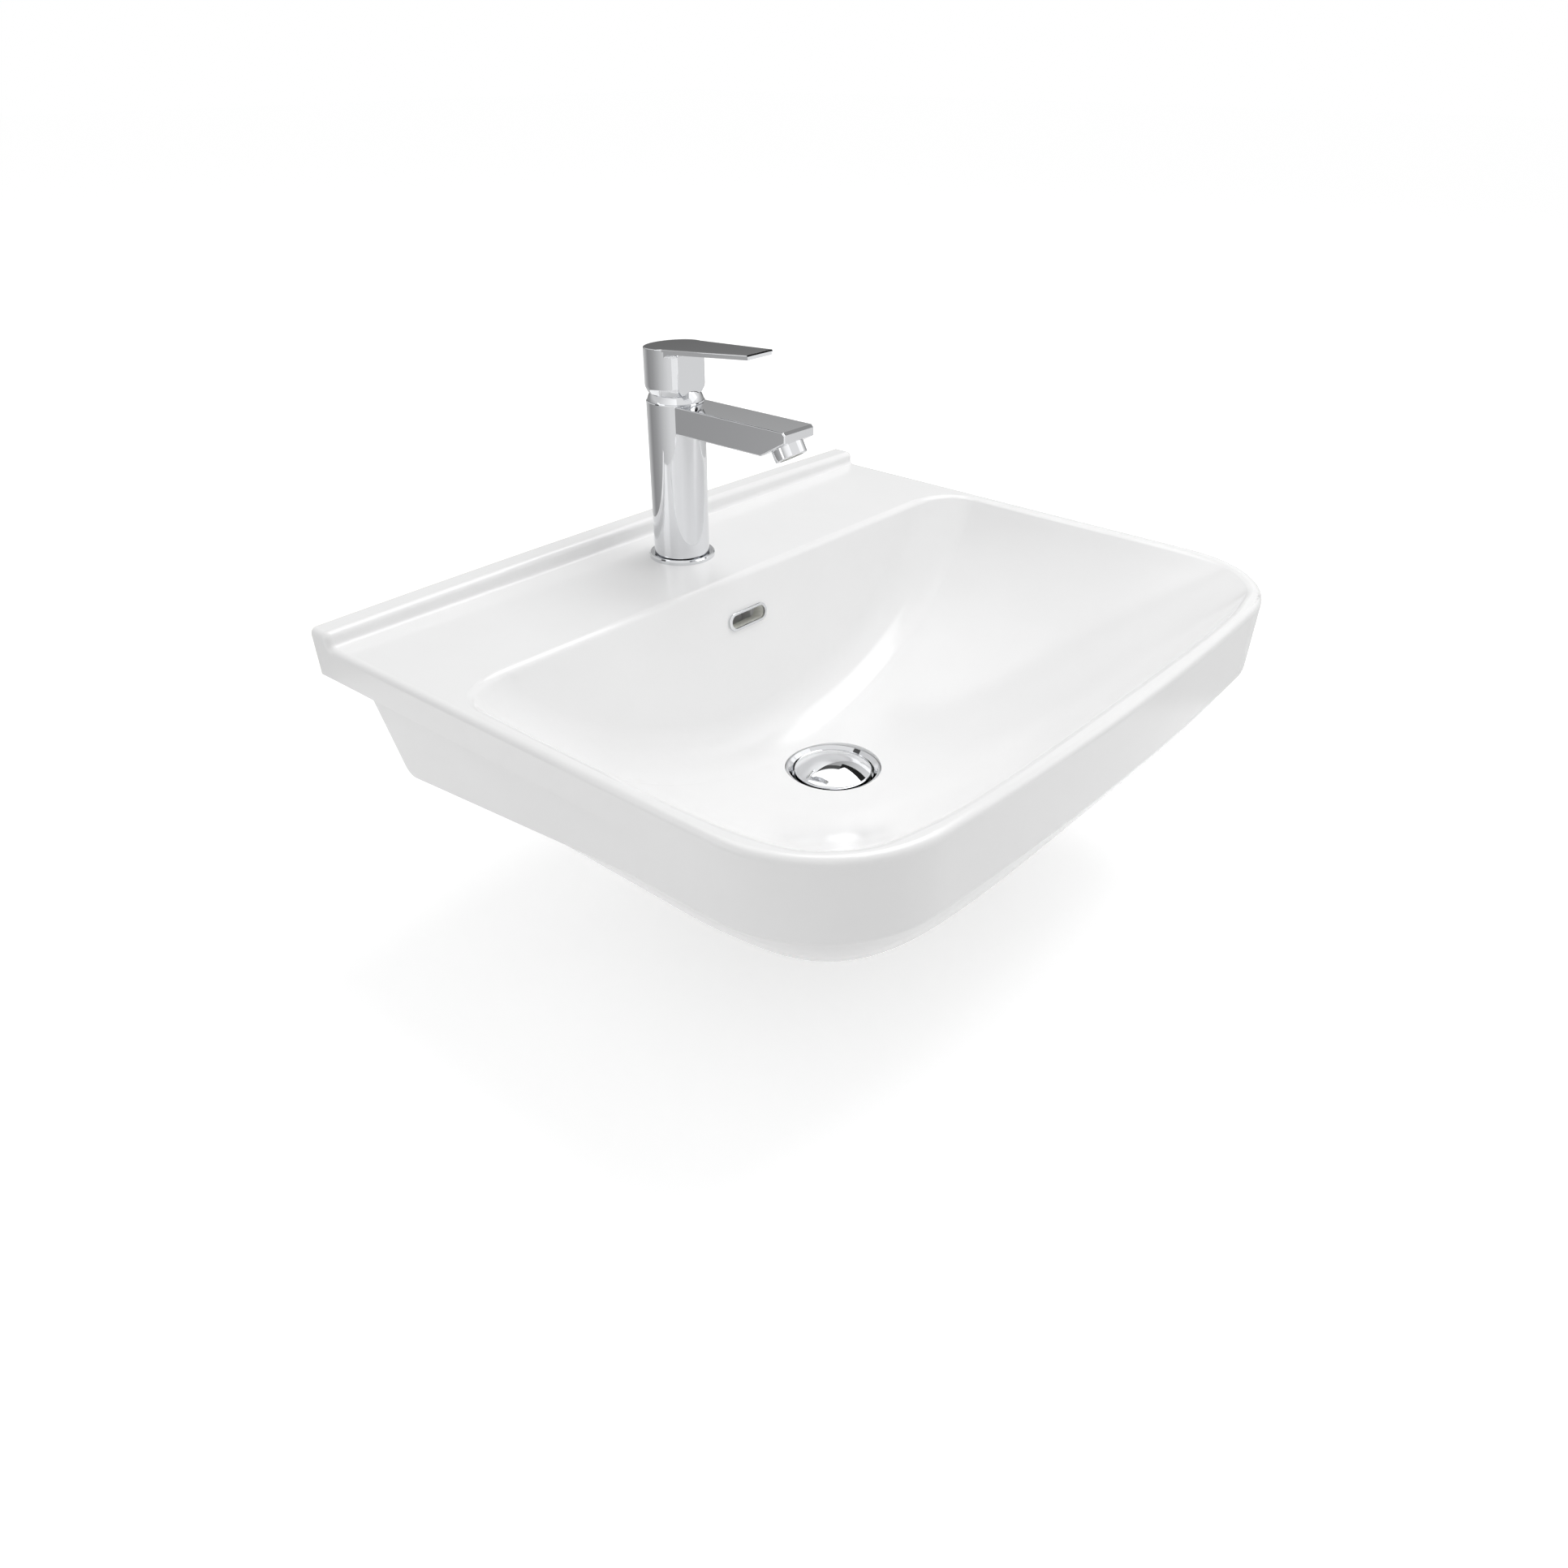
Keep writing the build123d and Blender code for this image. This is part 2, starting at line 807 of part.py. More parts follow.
with BuildPart() as fixing_rubber_washer:
    with BuildSketch(Plane.XY.offset(-deck_thickness - 3)) as horseshoe:
        with Locations((0, tap_y)):
            Circle(28)
        with Locations((0, tap_y + inlet_back - 15)):
            Rectangle(26, 40, mode=Mode.SUBTRACT)
        with Locations((0, tap_y + stud_back)):
            Circle(stud_radius, mode=Mode.SUBTRACT)
        fillet(horseshoe.vertices().group_by(Axis.Y)[0], radius=2)
    extrude(amount=3)
save(fixing_rubber_washer.part, "fixing_rubber_washer")

with BuildPart() as fixing_plate:
    extrude(horseshoe.sketch, amount=-2.5)
save(fixing_plate.part, "fixing_plate")

with BuildPart() as fixing_nut:
    with BuildSketch(Plane.XY.offset(-deck_thickness - 16)):
        with Locations((0, tap_y + stud_back)):
            RegularPolygon(7.5, 6)
            Circle(stud_radius, mode=Mode.SUBTRACT)
    extrude(amount=10.5)
save(fixing_nut.part, "fixing_nut")

# Cartridge
with BuildPart() as cartridge_seals:
    for x, back, radius in (
        (-port_x, inlet_back, port_radius),
        (port_x, inlet_back, port_radius),
        (0, outlet_back, outlet_radius),
    ):
        with BuildSketch(Plane.XY.offset(chamber_floor)) as seal_ring:
            with Locations((x, tap_y + back)):
                Circle(radius + 0.9)
                Circle(radius, mode=Mode.SUBTRACT)
        extrude(amount=cup_foot - chamber_floor)
save(cartridge_seals.part, "cartridge_seals")

with BuildPart() as cartridge_body:
    column(tap_y, cup_radius, cup_foot, lid_floor)
    column(tap_y, cup_bore, disc_floor, lid_floor, mode=Mode.SUBTRACT)
    for side in (-1, 1):
        column(tap_y + inlet_back, port_radius, cup_foot, disc_floor, Mode.SUBTRACT, side * port_x)
    column(tap_y + outlet_back, outlet_radius, cup_foot, disc_floor, Mode.SUBTRACT)
save(cartridge_body.part, "cartridge_body")

with BuildPart() as cartridge_fixed_disc:
    column(tap_y, cup_bore, disc_floor, slide_plane)
    for side in (-1, 1):
        column(tap_y + inlet_back, port_radius, disc_floor, slide_plane, Mode.SUBTRACT, side * port_x)
    column(tap_y + outlet_back, outlet_radius, disc_floor, slide_plane, Mode.SUBTRACT)
save(cartridge_fixed_disc.part, "cartridge_fixed_disc")

with BuildPart() as cartridge_moving_disc:
    column(tap_y, 11, slide_plane + slide_film, slide_plane + 4)
    with BuildSketch(Plane.XY.offset(slide_plane + slide_film)):
        with Locations((0, tap_y + 1.6)):
            Circle(8.2)
        with Locations((0, tap_y - 11.5)):
            Rectangle(20, 20, mode=Mode.SUBTRACT)
    extrude(amount=2, mode=Mode.SUBTRACT)
save(cartridge_moving_disc.part, "cartridge_moving_disc")

with BuildPart() as disc_carrier:
    turned(
        tap_y,
        [
            (0, slide_plane + 4),
            (11, slide_plane + 4),
            (11, carrier_top - 1),
            (10, carrier_top),
            (5, carrier_top),
            (ball_radius + 0.1, carrier_top - 2),
            (ball_radius + 0.1, ball_z - ball_radius - 1),
            (0, ball_z - ball_radius - 1),
        ],
    )
save(disc_carrier.part, "disc_carrier")

with BuildPart() as cartridge_driver:
    turned(
        tap_y,
        [
            (0, driver_foot),
            (cup_bore - 0.4, driver_foot),
            (cup_bore - 0.4, lid_floor - 0.3),
            (neck_radius, lid_floor - 0.3),
            (neck_radius, neck_top),
            (0, neck_top),
        ],
    )
    block(
        stem_width + 0.6,
        tap_y - 7,
        tap_y + 7,
        driver_foot,
        neck_top,
        mode=Mode.SUBTRACT,
    )
    with Locations(Location((0, tap_y, pivot_z), (0, 90, 0))):
        Cylinder(pin_radius, 2 * neck_radius, mode=Mode.SUBTRACT)
save(cartridge_driver.part, "cartridge_driver")

with BuildPart() as cartridge_pin:
    with Locations(Location((0, tap_y, pivot_z), (0, 90, 0))):
        Cylinder(pin_radius, 2 * neck_radius - 1)
    chamfer(cartridge_pin.edges().filter_by(GeomType.CIRCLE), length=0.3)
save(cartridge_pin.part, "cartridge_pin")

with BuildPart() as cartridge_stem:
    with Locations((0, tap_y, ball_z)):
        Sphere(ball_radius)
    column(tap_y, arm_radius, ball_z, pivot_z - 4)
    block(
        stem_width,
        tap_y - stem_width / 2,
        tap_y + stem_width / 2,
        pivot_z - 4,
        stem_top,
    )
    with Locations(Location((0, tap_y, pivot_z), (0, 90, 0))):
        Cylinder(pin_radius + pin_clearance, stem_width, mode=Mode.SUBTRACT)
save(cartridge_stem.part, "cartridge_stem")

with BuildPart() as cartridge_lid:
    tube(tap_y, cup_radius, neck_radius + neck_clearance, lid_floor, lid_top)
save(cartridge_lid.part, "cartridge_lid")

with BuildPart() as cartridge_nut:
    tube(tap_y, chamber_radius, 13, lid_top, nut_top)
    with BuildSketch(Plane.XY.offset(nut_top - 2)):
        with Locations((0, tap_y)):
            with PolarLocations(13, 6):
                Rectangle(4, 4)
    extrude(amount=2, mode=Mode.SUBTRACT)
save(cartridge_nut.part, "cartridge_nut")

# Domed cover over the cartridge, round about the lever's pivot
with BuildPart() as cartridge_dome:
    inner_radius = dome_radius - dome_skin
    dome_foot = body_top + dome_groove
    outer_foot = (sphere_radius_at(dome_foot, dome_radius), dome_foot)
    neck = outer_foot[0] - 1
    outer_mouth = (dome_mouth, sphere_z_at(dome_mouth, dome_radius))
    inner_foot = (sphere_radius_at(nut_top + 2, inner_radius), nut_top + 2)
    inner_mouth = (dome_mouth, sphere_z_at(dome_mouth, inner_radius))
    with BuildSketch(Plane.XZ.offset(-tap_y)) as dome_outline:
        with BuildLine():
            ThreePointArc(outer_foot, sphere_point(dome_radius, 54), outer_mouth)
            Line(outer_mouth, inner_mouth)
            ThreePointArc(inner_mouth, sphere_point(inner_radius, 54), inner_foot)
            Polyline(
                inner_foot,
                (17.2, nut_top + 2),
                (17.2, nut_top),
                (chamber_radius, nut_top),
                (chamber_radius, body_top),
                (neck, body_top),
                (neck, dome_foot),
                outer_foot,
            )
        make_face()
    revolve(axis=Axis((0, tap_y, 0), (0, 0, 1)))
save(cartridge_dome.part, "cartridge_dome")

# Handle: round head and flat lever in one casting
lever_face = Plane(
    origin=(0, tap_y, lever_z),
    x_dir=(1, 0, 0),
    z_dir=(0, sin(radians(lever_slope)), cos(radians(lever_slope))),
)


def on_lever_face(edge):
    return abs((edge.center() - lever_face.origin).dot(lever_face.z_dir)) < 0.01


with BuildPart() as handle:
    turned(
        tap_y,
        [
            (0, head_floor),
            (head_foot_radius, head_floor),
            (head_radius, head_wide_z),
            (head_radius, lever_z + 5),
            (0, lever_z + 5),
        ],
    )
    head_foot = handle.edges().filter_by(lambda e: abs(e.center().Z - head_wide_z) < 0.01)
    fillet(head_foot, radius=head_foot_round)
    block(60, tap_y - 40, tap_y - facet_front, head_floor - 1, lever_z + 10, mode=Mode.SUBTRACT)
    facet_sides = handle.edges().filter_by(Axis.Z).filter_by(
        lambda e: abs(e.center().Y - tap_y + facet_front) < 0.01
    )
    fillet(facet_sides, radius=facet_side_round)
    for inset, low, high in (
        (0, -lever_thickness / 2, 0),
        (edge_step, -lever_thickness, -lever_thickness / 2),
    ):
        with BuildSketch(lever_face.offset(low)):
            with BuildLine():
                Polyline(
                    (-lever_root_half + inset, lever_root),
                    (-lever_tip_half + inset, -lever_reach + inset),
                    (lever_tip_half - inset, -lever_reach + inset),
                    (lever_root_half - inset, lever_root),
                    close=True,
                )
            make_face()
        extrude(amount=high - low)
    with BuildSketch(lever_face):
        Rectangle(80, 80)
    extrude(amount=20, mode=Mode.SUBTRACT)
    facet_top = handle.edges().filter_by(
        lambda e: abs(e.center().Y - tap_y + facet_front) < 0.5
        and abs(e.center().X) < 1
        and e.center().Z > grub_z
    )
    fillet(facet_top, radius=facet_round)
    lever_tip = handle.edges().filter_by(on_lever_face).sort_by(Axis.Y)[0]
    chamfer(lever_tip, length=lever_front_chamfer)
    fillet(handle.edges().filter_by(on_lever_face), radius=lever_edge_round)
    with Locations((0, tap_y, pivot_z)):
        Sphere(dome_radius + 0.35, mode=Mode.SUBTRACT)
    column(tap_y, head_bore, head_floor, head_ceiling, mode=Mode.SUBTRACT)
    column(tap_y, socket_boss, socket_floor, head_ceiling + 0.5)
    block(9, tap_y + 5, tap_y + head_radius - 1, socket_floor, head_ceiling + 0.5)
    block(
        stem_width + 0.1,
        tap_y - stem_width / 2 - 0.05,
        tap_y + stem_width / 2 + 0.05,
        socket_floor,
        stem_top + 0.2,
        mode=Mode.SUBTRACT,
    )
    with BuildSketch(Plane.XZ.offset(-tap_y)):
        with Locations((0, grub_z)):
            Circle(grub_radius)
    extrude(amount=-head_radius - 1, mode=Mode.SUBTRACT)
    with BuildSketch(Plane.XZ.offset(plug_seat - tap_y)):
        with Locations((0, grub_z)):
            Circle(plug_radius)
    extrude(amount=-4, mode=Mode.SUBTRACT)
save(handle.part, "handle")

with BuildPart() as handle_grub_screw:
    with BuildSketch(Plane.XZ.offset(-tap_y - stem_width / 2)):
        with Locations((0, grub_z)):
            Circle(grub_radius)
    extrude(amount=-8)
    with BuildSketch(Plane.XZ.offset(-tap_y - stem_width / 2 - 5)):
        with Locations((0, grub_z)):
            RegularPolygon(1.4, 6)
    extrude(amount=-3, mode=Mode.SUBTRACT)
save(handle_grub_screw.part, "handle_grub_screw")

with BuildPart() as handle_screw_plug:
    with BuildSketch(Plane.XZ.offset(plug_seat - tap_y)):
        with Locations((0, grub_z)):
            Circle(plug_radius)
    extrude(amount=-2.6)
    fillet(handle_screw_plug.edges().sort_by(Axis.Y)[-1], radius=0.5)
save(handle_screw_plug.part, "handle_screw_plug")
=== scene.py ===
import json
import bpy
from math import cos, pi, radians, sin
from mathutils import Matrix, Vector

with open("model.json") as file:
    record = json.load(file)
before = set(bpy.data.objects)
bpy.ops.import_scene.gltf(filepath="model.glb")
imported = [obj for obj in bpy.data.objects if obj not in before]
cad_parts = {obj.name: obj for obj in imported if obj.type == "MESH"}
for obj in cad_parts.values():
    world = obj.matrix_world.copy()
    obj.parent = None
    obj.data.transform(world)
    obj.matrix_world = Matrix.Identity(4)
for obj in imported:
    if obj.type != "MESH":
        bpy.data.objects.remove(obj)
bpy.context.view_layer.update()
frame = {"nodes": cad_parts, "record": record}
print("frame loaded:", len(frame["nodes"]), "nodes")

mm = 0.001
tapAxis = Vector((0, -0.0685, 0))  # upright axis of the tap
wasteAxis = Vector((0, -0.222, 0))  # upright axis of the waste


def hexColour(text):
    parts = [int(text[i : i + 2], 16) / 255 for i in (0, 2, 4)]
    return tuple(c / 12.92 if c <= 0.04045 else ((c + 0.055) / 1.055) ** 2.4 for c in parts) + (1,)


def addNode(tree, kind, settings=None, links=None):
    # settings hold socket values and node properties, links hold what feeds each socket
    made = tree.nodes.new(kind)
    for key, value in (settings or {}).items():
        if isinstance(key, str) and hasattr(made, key):
            setattr(made, key, value)
        else:
            made.inputs[key].default_value = value
    for key, source in (links or {}).items():
        tree.links.new(source, made.inputs[key])
    return made


def newMaterial(name):
    material = bpy.data.materials.new(name)
    material.use_nodes = True
    tree = material.node_tree
    tree.nodes.clear()
    place = addNode(tree, "ShaderNodeTexCoord").outputs["Object"]
    return material, tree, place


def closeMaterial(tree, shader):
    addNode(tree, "ShaderNodeOutputMaterial", links={"Surface": shader.outputs[0]})


# Glazed vitreous china: dipped and fired, so it is white all through with a smooth, faintly
# wavy glaze. The wall face and the foot of the casting are wiped bare and stay matt.
china = {"glaze": "F5F5F5", "cloud": "F1F1F1", "bisque": "DEDACF", "ripple": 14, "grit": 0.7}


def glazedVitreousChina():
    material, tree, place = newMaterial("glazedVitreousChina")
    cloud = addNode(tree, "ShaderNodeTexNoise", {"Scale": 1 / (60 * mm), "Detail": 2}, {"Vector": place})
    ripple = addNode(
        tree, "ShaderNodeTexNoise", {"Scale": 1 / (china["ripple"] * mm), "Detail": 1}, {"Vector": place}
    )
    grit = addNode(
        tree, "ShaderNodeTexNoise", {"Scale": 1 / (china["grit"] * mm), "Detail": 2}, {"Vector": place}
    )
    tone = addNode(
        tree,
        "ShaderNodeMix",
        {"data_type": "RGBA", 6: hexColour(china["glaze"]), 7: hexColour(china["cloud"])},
        {0: cloud.outputs["Fac"]},
    )
    parts = addNode(tree, "ShaderNodeSeparateXYZ", links={0: place})
    atWall = addNode(
        tree, "ShaderNodeMath", {"operation": "GREATER_THAN", 1: -0.3 * mm}, {0: parts.outputs["Y"]}
    )
    atFoot = addNode(
        tree, "ShaderNodeMath", {"operation": "LESS_THAN", 1: -163.2 * mm}, {0: parts.outputs["Z"]}
    )
    bare = addNode(
        tree,
        "ShaderNodeMath",
        {"operation": "MAXIMUM"},
        {0: atWall.outputs[0], 1: atFoot.outputs[0]},
    )
    colour = addNode(
        tree,
        "ShaderNodeMix",
        {"data_type": "RGBA", 7: hexColour(china["bisque"])},
        {0: bare.outputs[0], 6: tone.outputs[2]},
    )
    rough = addNode(
        tree,
        "ShaderNodeMapRange",
        {"To Min": 0.16, "To Max": 0.8},
        {"Value": bare.outputs[0]},
    )
    height = addNode(
        tree,
        "ShaderNodeMix",
        {"data_type": "FLOAT"},
        {0: bare.outputs[0], 2: ripple.outputs["Fac"], 3: grit.outputs["Fac"]},
    )
    bump = addNode(
        tree,
        "ShaderNodeBump",
        {"Strength": 0.25, "Distance": 0.06 * mm},
        {"Height": height.outputs[0]},
    )
    closeMaterial(
        tree,
        addNode(
            tree,
            "ShaderNodeBsdfPrincipled",
            {"IOR": 1.52},
            {
                "Base Color": colour.outputs[2],
                "Roughness": rough.outputs[0],
                "Normal": bump.outputs[0],
            },
        ),
    )
    return material


# Chromium plate over polished brass: a mirror, a little bluish, with a faint haze from polishing.
chrome = {"plate": "DBDCDE", "hazeSize": 9, "smooth": 0.03, "hazy": 0.05}


def polishedChrome():
    material, tree, place = newMaterial("polishedChromiumPlate")
    haze = addNode(
        tree, "ShaderNodeTexNoise", {"Scale": 1 / (chrome["hazeSize"] * mm), "Detail": 3}, {"Vector": place}
    )
    rough = addNode(
        tree,
        "ShaderNodeMapRange",
        {"From Min": 0.3, "From Max": 0.7, "To Min": chrome["smooth"], "To Max": chrome["hazy"]},
        {"Value": haze.outputs["Fac"]},
    )
    closeMaterial(
        tree,
        addNode(
            tree,
            "ShaderNodeBsdfPrincipled",
            {"Base Color": hexColour(chrome["plate"]), "Metallic": 1},
            {"Roughness": rough.outputs[0]},
        ),
    )
    return material


# Free-cutting brass, turned: warm yellow metal with fine rings left by the lathe.
def turnedBrass():
    material, tree, place = newMaterial("turnedBrass")
    rings = addNode(
        tree,
        "ShaderNodeTexWave",
        {"bands_direction": "Z", "Scale": 0.314 / (0.5 * mm), "Distortion": 0.3},
        {"Vector": place},
    )
    stain = addNode(tree, "ShaderNodeTexNoise", {"Scale": 1 / (7 * mm), "Detail": 3}, {"Vector": place})
    colour = addNode(
        tree,
        "ShaderNodeMix",
        {"data_type": "RGBA", 6: hexColour("D3B36E"), 7: hexColour("B8924E")},
        {0: stain.outputs["Fac"]},
    )
    rough = addNode(
        tree, "ShaderNodeMapRange", {"To Min": 0.22, "To Max": 0.36}, {"Value": rings.outputs["Fac"]}
    )
    bump = addNode(
        tree, "ShaderNodeBump", {"Strength": 0.3, "Distance": 0.03 * mm}, {"Height": rings.outputs["Fac"]}
    )
    closeMaterial(
        tree,
        addNode(
            tree,
            "ShaderNodeBsdfPrincipled",
            {"Metallic": 1},
            {"Base Color": colour.outputs[2], "Roughness": rough.outputs[0], "Normal": bump.outputs[0]},
        ),
    )
    return material


# Stainless steel, drawn and barrel finished: grey, satin, with short scratches.
def satinSteel():
    material, tree, place = newMaterial("satinStainlessSteel")
    stretch = addNode(tree, "ShaderNodeMapping", {"Scale": (1, 1, 0.12)}, {"Vector": place})
    scratch = addNode(
        tree,
        "ShaderNodeTexNoise",
        {"Scale": 1 / (0.5 * mm), "Detail": 3},
        {"Vector": stretch.outputs[0]},
    )
    rough = addNode(
        tree, "ShaderNodeMapRange", {"To Min": 0.25, "To Max": 0.45}, {"Value": scratch.outputs["Fac"]}
    )
    bump = addNode(
        tree, "ShaderNodeBump", {"Strength": 0.2, "Distance": 0.02 * mm}, {"Height": scratch.outputs["Fac"]}
    )
    closeMaterial(
        tree,
        addNode(
            tree,
            "ShaderNodeBsdfPrincipled",
            {"Base Color": hexColour("C2C3C4"), "Metallic": 1},
            {"Roughness": rough.outputs[0], "Normal": bump.outputs[0]},
        ),
    )
    return material


# EPDM rubber, moulded: near black, matt, with a fine grain and a bloom that greys it in patches.
def mouldedRubber():
    material, tree, place = newMaterial("mouldedEpdmRubber")
    bloom = addNode(tree, "ShaderNodeTexNoise", {"Scale": 1 / (6 * mm), "Detail": 4}, {"Vector": place})
    grain = addNode(tree, "ShaderNodeTexNoise", {"Scale": 1 / (0.35 * mm), "Detail": 2}, {"Vector": place})
    colour = addNode(
        tree,
        "ShaderNodeMix",
        {"data_type": "RGBA", 6: hexColour("1E1E1F"), 7: hexColour("333334")},
        {0: bloom.outputs["Fac"]},
    )
    bump = addNode(
        tree, "ShaderNodeBump", {"Strength": 0.3, "Distance": 0.03 * mm}, {"Height": grain.outputs["Fac"]}
    )
    closeMaterial(
        tree,
        addNode(
            tree,
            "ShaderNodeBsdfPrincipled",
            {"Roughness": 0.7},
            {"Base Color": colour.outputs[2], "Normal": bump.outputs[0]},
        ),
    )
    return material


# Acetal, injection moulded: milky white, waxy, with a light spark-eroded texture from the mould.
def mouldedAcetal():
    material, tree, place = newMaterial("mouldedAcetal")
    flow = addNode(tree, "ShaderNodeTexNoise", {"Scale": 1 / (12 * mm), "Detail": 2}, {"Vector": place})
    grain = addNode(tree, "ShaderNodeTexNoise", {"Scale": 1 / (0.4 * mm), "Detail": 2}, {"Vector": place})
    colour = addNode(
        tree,
        "ShaderNodeMix",
        {"data_type": "RGBA", 6: hexColour("ECECE6"), 7: hexColour("E2E2DB")},
        {0: flow.outputs["Fac"]},
    )
    rough = addNode(
        tree, "ShaderNodeMapRange", {"To Min": 0.38, "To Max": 0.52}, {"Value": flow.outputs["Fac"]}
    )
    bump = addNode(
        tree, "ShaderNodeBump", {"Strength": 0.2, "Distance": 0.02 * mm}, {"Height": grain.outputs["Fac"]}
    )
    closeMaterial(
        tree,
        addNode(
            tree,
            "ShaderNodeBsdfPrincipled",
            {"IOR": 1.48},
            {"Base Color": colour.outputs[2], "Roughness": rough.outputs[0], "Normal": bump.outputs[0]},
        ),
    )
    return material


# Alumina, sintered and lapped flat: cream, hard, with a dull sheen and tiny pores.
def lappedAlumina():
    material, tree, place = newMaterial("lappedAlumina")
    pores = addNode(tree, "ShaderNodeTexVoronoi", {"Scale": 1 / (0.6 * mm)}, {"Vector": place})
    tint = addNode(
        tree,
        "ShaderNodeMapRange",
        {"From Max": 0.25, "To Min": 0.0, "To Max": 1.0},
        {"Value": pores.outputs["Distance"]},
    )
    colour = addNode(
        tree,
        "ShaderNodeMix",
        {"data_type": "RGBA", 6: hexColour("C9C2B0"), 7: hexColour("E6E0D2")},
        {0: tint.outputs[0]},
    )
    closeMaterial(
        tree,
        addNode(
            tree,
            "ShaderNodeBsdfPrincipled",
            {"Roughness": 0.2, "IOR": 1.76},
            {"Base Color": colour.outputs[2]},
        ),
    )
    return material


finishes = {
    "glaze": glazedVitreousChina(),
    "chrome": polishedChrome(),
    "brass": turnedBrass(),
    "steel": satinSteel(),
    "rubber": mouldedRubber(),
    "white_plastic": mouldedAcetal(),
    "disc_ceramic": lappedAlumina(),
}
for part in frame["record"]["subparts"]:
    carried = frame["nodes"][part["node"]]
    for piece in carried if isinstance(carried, (list, tuple)) else [carried]:
        for holder in piece.material_slots:
            holder.material = finishes[part["material_slot"]]

# Floor and studio light
studio = {
    "floorZ": -0.2252,
    "floor": "DEDEDE",
    "floorGlow": 0.5,
    "sky": 0.68,
    "frontPower": 2,
    "sidePower": 3,
    "topPower": 22,
}


def plainCard(name, centre, facing, width, height, material):
    # a flat card, its face turned along facing
    turn = Vector(facing).to_track_quat("Z", "Y").to_matrix().to_4x4()
    corners = [(-width / 2, -height / 2), (width / 2, -height / 2), (width / 2, height / 2), (-width / 2, height / 2)]
    mesh = bpy.data.meshes.new(name)
    spots = [Matrix.Translation(Vector(centre)) @ turn @ Vector((x, y, 0)) for x, y in corners]
    mesh.from_pydata(spots, [], [(0, 1, 2, 3)])
    mesh.materials.append(material)
    card = bpy.data.objects.new(name, mesh)
    bpy.context.scene.collection.objects.link(card)
    return card


def paperMaterial(name, colour, glow):
    # matt paper; the glow only reaches the camera and mirror rays, so it lights nothing
    material, tree, place = newMaterial(name)
    fibre = addNode(tree, "ShaderNodeTexNoise", {"Scale": 1 / (3 * mm)}, {"Vector": place})
    bump = addNode(
        tree, "ShaderNodeBump", {"Strength": 0.05, "Distance": 0.05 * mm}, {"Height": fibre.outputs["Fac"]}
    )
    matt = addNode(
        tree,
        "ShaderNodeBsdfPrincipled",
        {"Base Color": hexColour(colour), "Roughness": 1, "Specular IOR Level": 0},
        {"Normal": bump.outputs[0]},
    )
    rays = addNode(tree, "ShaderNodeLightPath").outputs
    seen = addNode(
        tree, "ShaderNodeMath", {"operation": "MAXIMUM"}, {0: rays["Is Camera Ray"], 1: rays["Is Glossy Ray"]}
    )
    seenToo = addNode(
        tree,
        "ShaderNodeMath",
        {"operation": "MAXIMUM"},
        {0: seen.outputs[0], 1: rays["Is Transmission Ray"]},
    )
    strength = addNode(
        tree, "ShaderNodeMath", {"operation": "MULTIPLY", 1: glow}, {0: seenToo.outputs[0]}
    )
    light = addNode(tree, "ShaderNodeEmission", {"Color": (1, 1, 1, 1)}, {"Strength": strength.outputs[0]})
    both = addNode(tree, "ShaderNodeAddShader", links={0: matt.outputs[0], 1: light.outputs[0]})
    closeMaterial(tree, both)
    return material


plainCard(
    "floor",
    (0, -0.2, studio["floorZ"]),
    (0, 0, 1),
    24,
    24,
    paperMaterial("whiteBackdropPaper", studio["floor"], studio["floorGlow"]),
)


# A round tent that only mirrors see: it casts no shadow and lights nothing. It gives the chrome
# the greys that a photographer's tent would, by bearing round the tap, with a window above.
tent = {
    "radius": 3.0,
    "floor": -0.2246,
    "top": 2.9,
    # bearing in degrees from +X, and the grey there
    "wallGreys": ((-40, 0.8), (10, 0.4), (30, 0.1), (60, 0.1), (95, 0.36), (150, 0.42), (195, 0.76), (230, 1)),
    "floorGreys": (
        (-60, 0.9),
        (-40, 0.86),
        (20, 0.6),
        (75, 0.66),
        (93, 0.5),
        (110, 0.33),
        (137, 0.41),
        (155, 0.52),
        (172, 0.66),
        (203, 0.88),
        (235, 0.95),
    ),
    "lift": 0.37,  # how much lighter the wall is above a metre
    "bandBearings": (-30, 165),
    "bandHeights": (2.9, 3.9),
    "flagBearings": (-30, 26),
    "flagHeights": (2.3, 3.9),
    "ceiling": 4.0,
    "ceilingTurn": 41,
}


def mirrorWall(name, bearings, heights, radius, steps, shader):
    # a standing sheet bent round the tap
    spots = []
    for i in range(steps + 1):
        turn = radians(bearings[0] + (bearings[1] - bearings[0]) * i / steps)
        for height in heights:
            spots.append((radius * cos(turn), tapAxis.y + radius * sin(turn), height))
    mesh = bpy.data.meshes.new(name)
    mesh.from_pydata(spots, [], [(2 * i, 2 * i + 2, 2 * i + 3, 2 * i + 1) for i in range(steps)])
    mesh.materials.append(shader)
    hideFromAllButMirrors(name, mesh)


def hideFromAllButMirrors(name, mesh):
    card = bpy.data.objects.new(name, mesh)
    bpy.context.scene.collection.objects.link(card)
    card.visible_camera = False
    card.visible_diffuse = False
    card.visible_shadow = False


